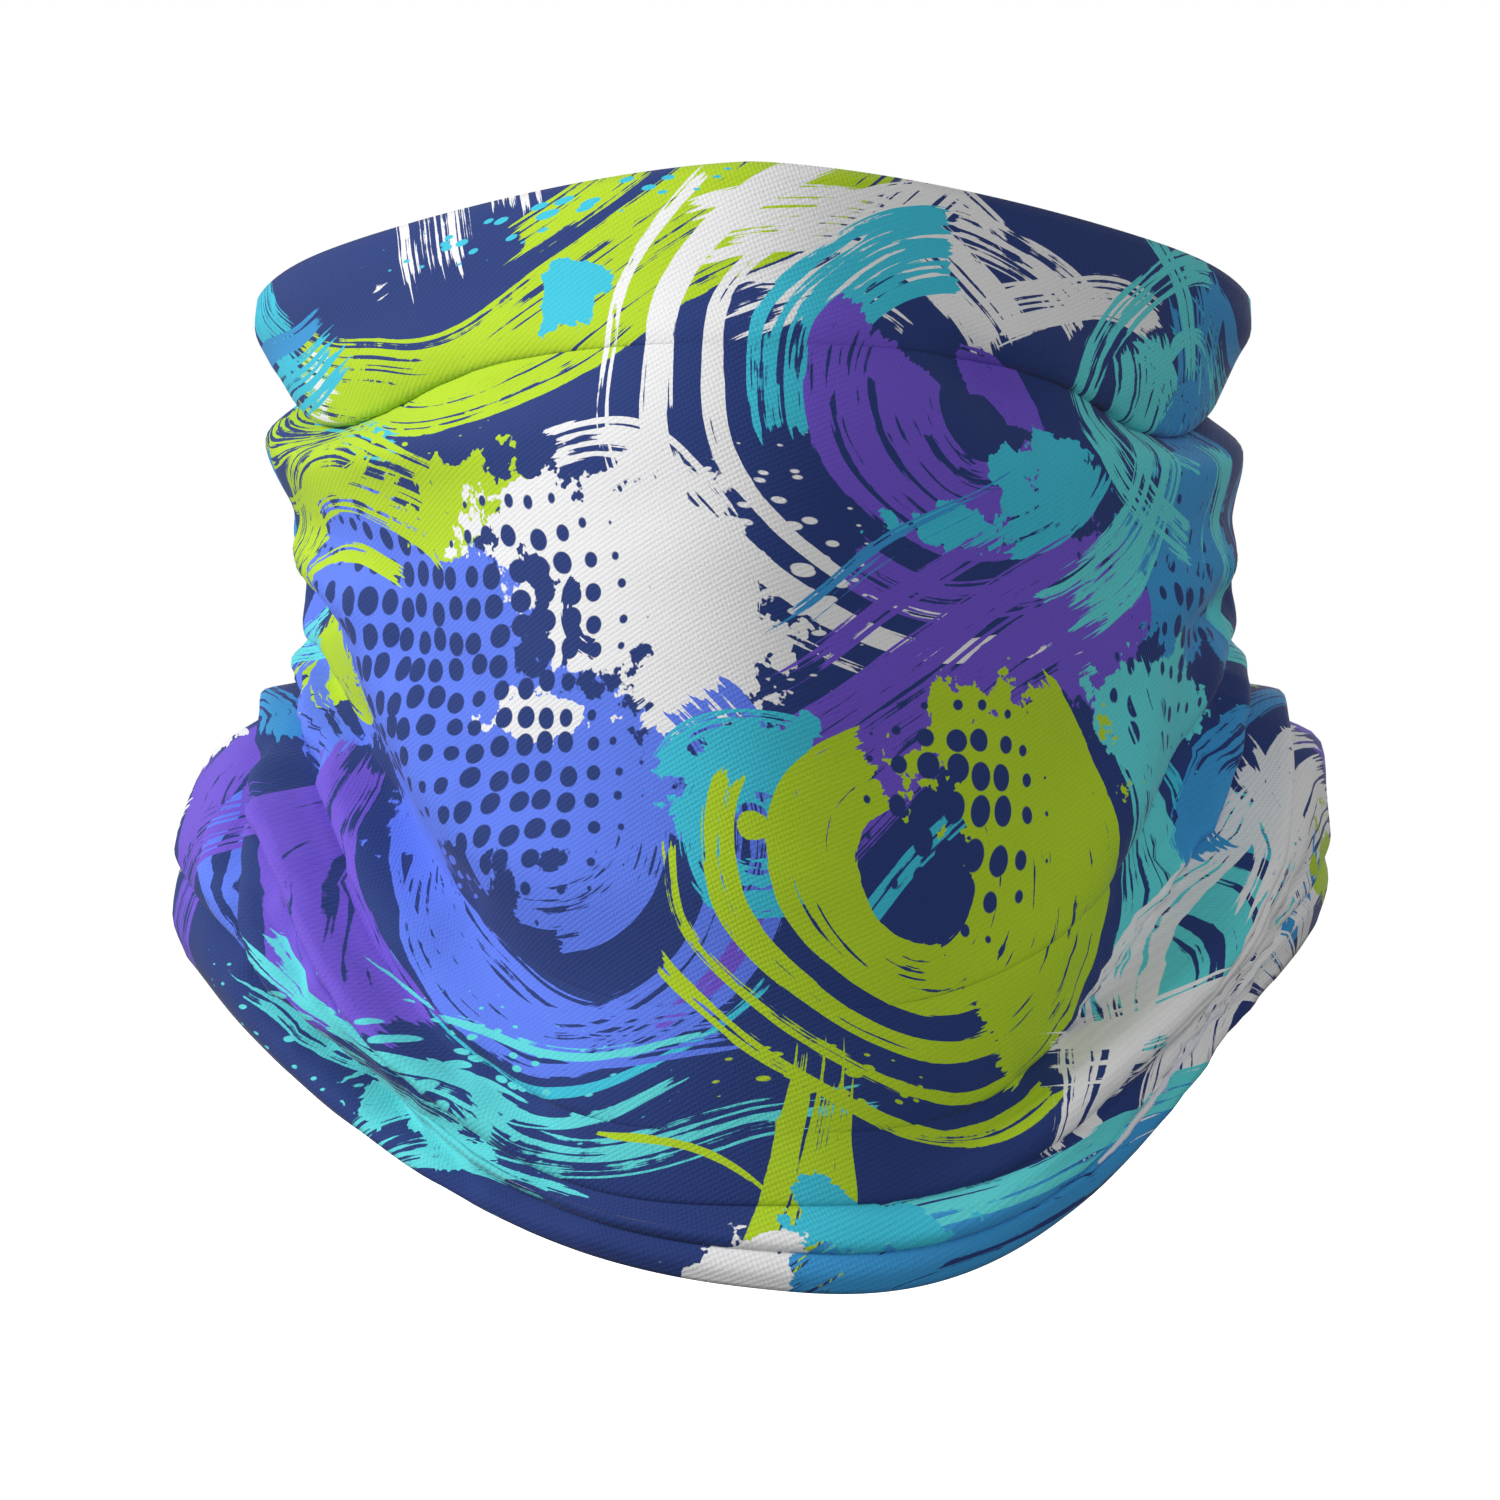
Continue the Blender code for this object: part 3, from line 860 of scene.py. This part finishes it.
def bands_in(zone, repeat, swirl):
    """The swirl's bands that reach the zone."""
    across, up = offsets(zone, repeat, swirl)
    across = across / swirl.stretch
    radius = np.hypot(across, up)
    slack = np.degrees(SAMPLE_STEP / np.maximum(radius, 1))
    reaching = []
    for band in map(Band._make, swirl.bands):
        turned = (np.degrees(np.arctan2(up, across)) - band.start + slack) % 360
        in_sweep = turned < band.sweep + 2 * slack
        in_width = (radius > band.inner - SAMPLE_STEP) & (radius < band.outer + SAMPLE_STEP)
        if (in_sweep & in_width).any():
            reaching.append(band)
    return tuple(reaching)


def patch_size(layer):
    return (layer.reach, layer.reach) if isinstance(layer, Dots) else (layer.width, layer.height)


def patch_reaches(zone, repeat, layer):
    across, up = offsets(zone, repeat, layer)
    spread = 1 + (RAGGED_REACH * layer.ragged if isinstance(layer, Blot) else 0)
    width, height = (size * spread + SAMPLE_STEP for size in patch_size(layer))
    return (np.hypot(across / width, up / height) < 1).any()


def layers_in(zone, repeat):
    """The print's layers that reach the zone, each with its place in the whole print."""
    found = []
    for index, layer in enumerate(PRINT):
        if isinstance(layer, Swirl):
            bands = bands_in(zone, repeat, layer)
            if bands:
                found.append((index, layer._replace(bands=bands)))
        elif patch_reaches(zone, repeat, layer):
            found.append((index, layer))
    return found


def add_swirl(web, colour, layer, polar, torn_paint, trio):
    """The colour with a swirl's bands painted over it, three at a time."""
    bristles = web.vector("SUBTRACT", polar["Bristles"], torn_paint)
    for first in range(0, len(layer.bands), 3):
        bands = layer.bands[first:first + 3]
        filled = bands + bands[-1:] * (3 - len(bands))
        covers = web.use(trio, {
            "Radius": polar["Radius"],
            "Turn": polar["Turn"],
            "Bristles": bristles,
            "Inners": [band.inner for band in filled],
            "Outers": [band.outer for band in filled],
            "Starts": [band.start / 360 for band in filled],
            "Sweeps": [band.sweep / 360 for band in filled],
            "Paints": [THIN_PAINT - DRY_LOSS * band.dry for band in filled],
        })
        for band, cover in zip(bands, covers):
            colour = web.mix(cover, colour, band.colour)
    return colour


def patch_cover(web, layer, inside, torn, cells):
    """How much of a place a blot, dots or flecks cover, from how far inside the patch it is."""
    if isinstance(layer, Blot):
        return web.positive(web.math("MULTIPLY_ADD", torn, 2 * layer.ragged, inside), PATCH_SHARPNESS)
    radius = FLECK_RADIUS
    if isinstance(layer, Dots):
        radius = DOT_RADIUS * layer.size
        inside = web.math("MULTIPLY", inside, DOT_GROWTH)
    radius = web.math("MULTIPLY", web.math("MINIMUM", inside, 1.0), radius)
    return web.positive(web.math("SUBTRACT", radius, cells[type(layer)]), PATCH_SHARPNESS)


def print_colour(web, uv, layers, groups):
    """The colour of the print at a place on the cloth, painted layer on layer."""
    kinds = {type(layer) for _, layer in layers}
    drift = web.noise(uv, 1 / DRIFT_PITCH, 1.0, 0.5, "2D", "Color")
    place = web.vector("MULTIPLY_ADD", web.vector("SUBTRACT", drift, 0.5), DRIFT, uv)
    torn = web.math("SUBTRACT", web.noise(uv, 1 / RAGGED_PITCH, 4.0, 0.62, "2D"), 0.5)
    torn_paint = web.spread(web.math("MULTIPLY", torn, TORN_PAINT))
    cells = {}
    if Dots in kinds:
        cells[Dots] = web.cells(web.vector("MULTIPLY", place, 1 / DOT_SPACING), DOT_SCATTER)
    if Flecks in kinds:
        tilt, scale = (0, 0, radians(FLECK_TILT)), (1 / FLECK_LENGTH, 1 / FLECK_PITCH, 1)
        turned = web.add("Mapping", {"Vector": place, "Rotation": tilt, "Scale": scale})
        cells[Flecks] = web.cells(turned, FLECK_SCATTER)
    colour = NAVY
    for index, layer in layers:
        inputs = {"Place": place, "Centre": (layer.u, layer.v, 0)}
        if isinstance(layer, Swirl):
            inputs |= {"Stretch": layer.stretch, "Seed": BRISTLE_SEED_STEP * index}
            polar = web.use(groups["swirl"], inputs)
            colour = add_swirl(web, colour, layer, polar, torn_paint, groups["trio"])
        else:
            width, height = patch_size(layer)
            inputs |= {"Width": width, "Height": height}
            inside = web.use(groups["patch"], inputs)["Inside"]
            cover = patch_cover(web, layer, inside, torn, cells)
            colour = web.mix(cover, colour, layer.colour)
    return colour


# ---- the printed knit

# A stitch leans by a share of its row. The relief is made of rows, stitches and fuzz.
TWILL_PITCH = 0.85
TWILL_LEAN = 0.5
ROW_HEIGHT = 0.6
STITCH_PITCH = 0.62
STITCH_LEAN = 0.3
STITCH_HEIGHT = 0.45
FUZZ_SCALE = 2.4
FUZZ_HEIGHT = 2.2
KNIT_RELIEF = 0.045
# Painted shade and highlight: how much the knit's colour darkens in its relief's hollows and lightens on
# its rises, for each unit of height.
KNIT_PAINTED_SHADE = 0.035
SHOW_THROUGH_PITCH = 24


def knit_height(web, place):
    """Fine diagonal rows of stitches with a little fuzz, about -1 to 1."""
    u, v, _ = web.split(place)
    rows = web.wave(web.math("MULTIPLY_ADD", u, -TWILL_LEAN, v), TWILL_PITCH)
    stitches = web.wave(web.math("MULTIPLY_ADD", v, STITCH_LEAN, u), STITCH_PITCH)
    fuzz = web.math("SUBTRACT", web.noise(place, FUZZ_SCALE, 2.0, 0.7, "2D"), 0.5)
    height = web.math("MULTIPLY_ADD", stitches, STITCH_HEIGHT, web.math("MULTIPLY", rows, ROW_HEIGHT))
    return web.math("MULTIPLY_ADD", fuzz, FUZZ_HEIGHT, height)


def add_knit(web, inputs, place, colour):
    """Gives a shader this colour with the knit's relief and sheen, and painted shade: the colour is darker
    where the relief is low and lighter where it is high.
    """
    height = knit_height(web, place)
    # Painted shade: the colour is darkened where the knit's relief is low and lightened where it is high.
    painted_relief_shade = web.math("MULTIPLY_ADD", height, KNIT_PAINTED_SHADE, 1.0)
    web.feed(inputs["Base Color"], web.vector("MULTIPLY", colour, web.spread(painted_relief_shade)))
    web.feed(inputs["Normal"], web.bump(height, 0.6, KNIT_RELIEF))
    inputs["Sheen Weight"].default_value = 0.12
    inputs["Sheen Roughness"].default_value = 0.45
    inputs["Specular IOR Level"].default_value = 0.25


def cloth_materials(girth, depth):
    """The printed outside, a material for each zone, and the unprinted inside, which comes last."""
    repeat = girth / PRINT_REPEATS
    groups = {"swirl": swirl_group(repeat), "trio": trio_group(), "patch": patch_group(repeat)}
    made = []
    for number, zone in enumerate(print_zones(repeat, depth), 1):
        web, inputs, material = new_material(f"printed_knit_{number:02}", 0.85)
        uv = web.uv()
        add_knit(web, inputs, uv, print_colour(web, uv, layers_in(zone, repeat), groups))
        made.append(material)
    web, inputs, material = new_material("knit_inside", 0.85)
    uv = web.uv()
    blotches = web.noise(uv, 1 / SHOW_THROUGH_PITCH, 2.0, 0.6, "2D")
    show_through = web.math("MULTIPLY_ADD", blotches, 0.4, -0.12, clamp=True)
    add_knit(web, inputs, uv, web.mix(show_through, WHITE, PERIWINKLE))
    return made + [material]


def assign_zones(mesh, girth, depth):
    """Gives each face the material of the zone that its middle lies in."""
    repeat = girth / PRINT_REPEATS
    places = mesh.uv_layers[UV_MAP].data
    for face in mesh.polygons:
        u, v = sum((places[index].uv for index in face.loop_indices), Vector((0, 0))) / face.loop_total
        column = int(u % repeat / repeat * ZONES_ROUND)
        row = min(int(-v / depth * ZONES_DOWN), ZONES_DOWN - 1)
        face.material_index = row * ZONES_ROUND + column


def add_cloth(points, around, down):
    """The printed cloth, with its unprinted side inside and on its cut edges."""
    girth, depth = 2 * around.max(), down.max()
    mesh = sheet_mesh("gaiter_cloth", points, np.stack([around, -down], axis=-1))
    materials = cloth_materials(girth, depth)
    cloth = add_piece("gaiter_cloth", mesh, materials, "tube", "fabric_panel")
    assign_zones(mesh, girth, depth)
    solid = thicken(cloth, CLOTH_THICKNESS)
    solid.material_offset = len(materials) - 1
    solid.material_offset_rim = solid.material_offset


# ---- the flat seam at the back

THREAD_RADIUS = 0.17
THREAD_SIDES = 8
TWISTS_PER_MM = 1.1
STITCH_LENGTH = 2.6
STITCH_SAMPLES = 10
SEAM_END_MARGIN = 1.2
NEEDLE_THREADS = 4
NEEDLE_LIFT = 0.62
NEEDLE_ROUNDING = 0.4
LOOP_SQUARENESS = 2
LOOP_SLANT = 0.18
COVER_HALF_WIDTH = 3.1
COVER_LIFT = 0.86
LOOPER_HALF_WIDTH = 2.8
LOOPER_LIFT = -0.64
BARTACK_HALF_WIDTH = 3.9
BARTACK_LIFT = 1.15
BARTACK_CROSSINGS = 18
BARTACK_LENGTH = 4.2
BARTACK_INSET = 1.8
# A direction that no thread runs along, from which the directions across a thread are found.
NEVER_ALONG = (0.3, 1.0, 0.1)


class Seam:
    """The line at the centre back where the two edges of the cloth meet."""

    def __init__(self, points):
        self.line = (points[:, 0] + points[:, -1]) / 2
        self.lengths = lengths_along(self.line)
        self.total = self.lengths[-1]
        _, back, up = np.diff(self.line, axis=0).T
        facing = unit(np.stack([0 * up, -up, back], axis=1))
        self.normals = unit(np.concatenate([facing[:1], facing[:-1] + facing[1:], facing[-1:]]))

    def place(self, across, along, lift):
        """Points this far to +X of the seam, this far down it, and this far out from the cloth."""
        line, normal = (
            np.stack([np.interp(along, self.lengths, column) for column in points.T], axis=-1)
            for points in (self.line, self.normals)
        )
        return line + np.outer(across, (1, 0, 0)) + np.asarray(lift)[:, None] * normal

    def stitched(self, across, lift):
        """A row of stitches down the seam that dips through the cloth at each needle hole."""
        stitches = int((self.total - 2 * SEAM_END_MARGIN) / STITCH_LENGTH)
        turns = np.linspace(0, stitches, stitches * STITCH_SAMPLES + 1)
        height = lift * np.abs(np.sin(pi * turns)) ** NEEDLE_ROUNDING
        return self.place(np.full_like(turns, across), SEAM_END_MARGIN + turns * STITCH_LENGTH, height)

    def looped(self, half_width, lift, start, length, crossings):
        """A thread that runs from side to side in rounded loops."""
        turns = np.linspace(0, crossings, crossings * STITCH_SAMPLES + 1)
        across = half_width * np.tanh(LOOP_SQUARENESS * np.cos(pi * turns)) / np.tanh(LOOP_SQUARENESS)
        along = start + (turns - LOOP_SLANT * np.sin(2 * pi * turns)) * length / crossings
        return self.place(across, along, np.full_like(turns, lift))


def tube_mesh(name, path):
    """A closed round thread along the path, with UVs for millimetres along it and turns round it."""
    tangents = unit(np.gradient(path, axis=0))
    side = unit(np.cross(tangents, NEVER_ALONG))
    upright = np.cross(side, tangents)
    turns = np.arange(THREAD_SIDES) * 2 * pi / THREAD_SIDES
    around = np.cos(turns)[:, None] * side[:, None] + np.sin(turns)[:, None] * upright[:, None]
    places = (path[:, None] + THREAD_RADIUS * around) * MM
    lengths = lengths_along(path)
    made = bmesh.new()
    layer = made.loops.layers.uv.new(UV_MAP)
    hoops = [[made.verts.new(place) for place in hoop] for hoop in places]
    for i, (hoop, following) in enumerate(zip(hoops, hoops[1:])):
        for k in range(THREAD_SIDES):
            after = (k + 1) % THREAD_SIDES
            face = made.faces.new((hoop[k], hoop[after], following[after], following[k]))
            face.smooth = True
            corners = ((i, k), (i, k + 1), (i + 1, k + 1), (i + 1, k))
            for loop, (row, turn) in zip(face.loops, corners):
                loop[layer].uv = (lengths[row], turn / THREAD_SIDES)
    made.faces.new(hoops[0])
    made.faces.new(reversed(hoops[-1]))
    bmesh.ops.recalc_face_normals(made, faces=made.faces)
    return finished(made, name)


def thread_material():
    """Navy polyester thread of two twisted plies, with a soft shine along the filaments. Its colour is
    painted shade and highlight: darker and lighter navy following the twist and fibres of its relief.
    """
    web, inputs, made = new_material("navy_thread", 0.42)
    along, around, _ = web.split(web.uv())
    turn = web.math("MULTIPLY_ADD", along, TWISTS_PER_MM, web.math("MULTIPLY", around, 2.0))
    plies = web.wave(turn, 1.0)
    fibres = web.noise(web.add("CombineXYZ", {"X": turn, "Y": around}), 9.0, 2.0, 0.6, "2D")
    # Painted shade and highlight: the plies and fibres that shape the thread's relief also set how light
    # its navy is.
    painted_relief_shade = web.math("MULTIPLY_ADD", plies, 0.25, fibres, clamp=True)
    web.feed(inputs["Base Color"], web.mix(painted_relief_shade, linear((26, 40, 88)), linear((70, 92, 160))))
    web.feed(inputs["Normal"], web.bump(web.math("MULTIPLY_ADD", fibres, 0.4, plies), 0.7, 0.05))
    inputs["Sheen Weight"].default_value = 0.2
    return made


def middle_x(node):
    """Half way between a node's lowest and highest x, in millimetres."""
    low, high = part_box(node)
    return (low.x + high.x) / 2 / MM


def add_threads(seam):
    """Every thread of the seam, each in place of the plain one of the frame."""
    length = seam.total - 2 * SEAM_END_MARGIN
    crossings = int(2 * length / STITCH_LENGTH)
    run = (SEAM_END_MARGIN, length, crossings)
    paths = {
        "seam_cover_thread": seam.looped(COVER_HALF_WIDTH, COVER_LIFT, *run),
        "seam_looper_thread": seam.looped(LOOPER_HALF_WIDTH, LOOPER_LIFT, *run),
    }
    for number in range(1, NEEDLE_THREADS + 1):
        node = f"seam_needle_thread_{number}"
        paths[node] = seam.stitched(middle_x(node) - seam.line[:, 0].mean(), NEEDLE_LIFT)
    for end, start in (("top", BARTACK_INSET), ("bottom", seam.total - BARTACK_INSET - BARTACK_LENGTH)):
        run = (start, BARTACK_LENGTH, BARTACK_CROSSINGS)
        paths[f"bartack_{end}"] = seam.looped(BARTACK_HALF_WIDTH, BARTACK_LIFT, *run)
    look = thread_material()
    for node, path in paths.items():
        name = f"stitched_{node}"
        add_piece(name, tube_mesh(name, path), [look], "tube", node)


# ---- the care label

LABEL_LEAF = 0.2
LABEL_GAP = 0.5
LABEL_ROWS = 40
LABEL_STEPS = 26
LABEL_BEND_STEPS = 9
LABEL_REST_ANGLE = 15
LABEL_INSET = 0.3
# The free edge leans to one side and ripples. The rates are radians to a millimetre of height.
LABEL_LEAN = 0.5
LABEL_LEAN_RATE = 0.28
LABEL_RIPPLE = 0.12
LABEL_RIPPLE_RATE = 0.5
SELVEDGE = 1.2
SELVEDGE_SPACING = 13.0
WEFT_PITCH = 0.28
WARP_PITCH = 0.6


def label_mesh():
    """A ribbon folded into a loop: out from the seam, round its bend and back, a little wavy."""
    hinge = np.array(frame["joints"][0]["pos_m"]) / MM
    low, high = (np.array(corner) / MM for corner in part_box("care_label"))
    turn = -radians(LABEL_REST_ANGLE)
    length = (high[0] - low[0] - 2 * LABEL_INSET) / cos(turn)
    radius = (LABEL_GAP + LABEL_LEAF) / 2
    leaf = np.linspace(0, length - radius, LABEL_STEPS)
    bend = np.linspace(-pi / 2, pi / 2, LABEL_BEND_STEPS)[1:-1]
    along = np.concatenate([leaf, length - radius + radius * np.cos(bend), leaf[::-1]])
    aside = np.concatenate([np.full_like(leaf, -radius), radius * np.sin(bend), np.full_like(leaf, radius)])
    run = lengths_along(np.stack([along, aside], axis=1))
    z = np.linspace(high[2] - LABEL_INSET, low[2] + LABEL_INSET, LABEL_ROWS)[:, None]
    share = along / length
    lean = LABEL_LEAN * share**2 * (1 + 0.5 * np.sin((z - low[2]) * LABEL_LEAN_RATE))
    aside = aside - lean + LABEL_RIPPLE * np.sin(z * LABEL_RIPPLE_RATE) * share
    x = hinge[0] + along * cos(turn) - aside * sin(turn)
    y = hinge[1] + along * sin(turn) + aside * cos(turn)
    places = np.stack(np.broadcast_arrays(x, y, z), axis=-1)
    uvs = np.stack(np.broadcast_arrays(run, z - low[2]), axis=-1)
    return sheet_mesh("satin_label", places, uvs)


def label_material():
    """White woven satin with selvedges along its top and bottom edges and no printing."""
    web, inputs, made = new_material("label_satin", 0.35)
    uv = web.uv()
    u, v, _ = web.split(uv)
    floats = web.noise(web.vector("MULTIPLY", uv, (0.6, 7.0, 1.0)), 1.0, 2.0, 0.6, "2D")
    white = web.mix(floats, linear((214, 214, 218)), linear((242, 242, 244)))
    edge = web.positive(web.math("SUBTRACT", SELVEDGE, web.math("PINGPONG", v, SELVEDGE_SPACING)), 8.0)
    web.feed(inputs["Base Color"], web.mix(web.math("MULTIPLY", edge, 0.6), white, linear((176, 182, 200))))
    warp = web.math("MULTIPLY", edge, web.wave(u, WARP_PITCH))
    web.feed(inputs["Normal"], web.bump(web.math("ADD", web.wave(v, WEFT_PITCH), warp), 0.5, 0.03))
    inputs["Anisotropic"].default_value = 0.5
    return made


def add_label():
    made = add_piece("satin_label", label_mesh(), [label_material()], "label", "care_label")
    thicken(made, LABEL_LEAF)


# ---- studio and camera

# Sizes of the studio are metres, and the powers of its lights are watts.
CAMERA_DISTANCE = 1.2
CAMERA_HEIGHT = 0.082
FRAME_WIDTH = 0.2423
SENSOR_WIDTH = 36
FLOOR_LEVEL = -0.035
FLOOR_RADIUS = 12
FLOOR_SEGMENTS = 64
FLOOR_GLOW = 0.8
# How bright the white surroundings are to the object. To the camera they are fully white.
AMBIENT = 0.3
LIT_PLACE = (0, 0, 0.085)
Light = namedtuple("Light", "name place size power")
LIGHTS = (
    Light("key", (-1.2, -0.42, 0.66), 0.6, 19),
    Light("fill", (0.6, -1.25, 0.35), 0.9, 5.6),
    Light("back", (0.35, 1.5, 0.5), 0.9, 9),
)


def grey(level):
    return (level, level, level, 1)


def add_light(light):
    """A square area light that points at the object."""
    lamp = bpy.data.lights.new(light.name, "AREA")
    lamp.energy = light.power
    lamp.size = light.size
    item = bpy.data.objects.new(light.name, lamp)
    item.location = light.place
    item.rotation_euler = (Vector(LIT_PLACE) - Vector(light.place)).to_track_quat("-Z", "Y").to_euler()
    bpy.context.collection.objects.link(item)


def add_floor():
    """A wide flat floor below the hem, bright enough to read as white."""
    made = bmesh.new()
    bmesh.ops.create_circle(made, cap_ends=True, segments=FLOOR_SEGMENTS, radius=FLOOR_RADIUS)
    bmesh.ops.translate(made, verts=made.verts, vec=(0, 0, FLOOR_LEVEL))
    mesh = finished(made, "floor")
    floor = bpy.data.objects.new("floor", mesh)
    bpy.context.collection.objects.link(floor)
    web, inputs, look = new_material("pale_floor", 1.0)
    seen = web.add("LightPath", output="Is Camera Ray")
    web.feed(inputs["Base Color"], web.mix(seen, grey(0.2), grey(0.9)))
    web.feed(inputs["Emission Color"], grey(1))
    web.feed(inputs["Emission Strength"], web.math("MULTIPLY", seen, FLOOR_GLOW))
    mesh.materials.append(look)


def add_surroundings():
    """White surroundings, which light the object less than the camera sees them."""
    world = bpy.data.worlds.new("studio")
    world.use_nodes = True
    web = Web(world.node_tree)
    inputs = world.node_tree.nodes["Background"].inputs
    seen = web.add("LightPath", output="Is Camera Ray")
    web.feed(inputs["Color"], grey(1))
    web.feed(inputs["Strength"], web.math("MULTIPLY_ADD", seen, 1 - AMBIENT, AMBIENT))
    bpy.context.scene.world = world


def add_camera():
    """A camera that looks level at the front of the cloth."""
    camera = bpy.data.objects.new("camera", bpy.data.cameras.new("camera"))
    camera.location = (0, -CAMERA_DISTANCE, CAMERA_HEIGHT)
    camera.rotation_euler = (pi / 2, 0, 0)
    camera.data.sensor_width = SENSOR_WIDTH
    camera.data.lens = SENSOR_WIDTH * CAMERA_DISTANCE / FRAME_WIDTH
    bpy.context.collection.objects.link(camera)
    bpy.context.scene.camera = camera


points, smooth_points = drape()
add_cloth(points, *cloth_lengths(smooth_points))
add_threads(Seam(points))
add_label()
add_floor()
add_surroundings()
for light in LIGHTS:
    add_light(light)
add_camera()
bpy.context.scene.view_settings.view_transform = "Standard"
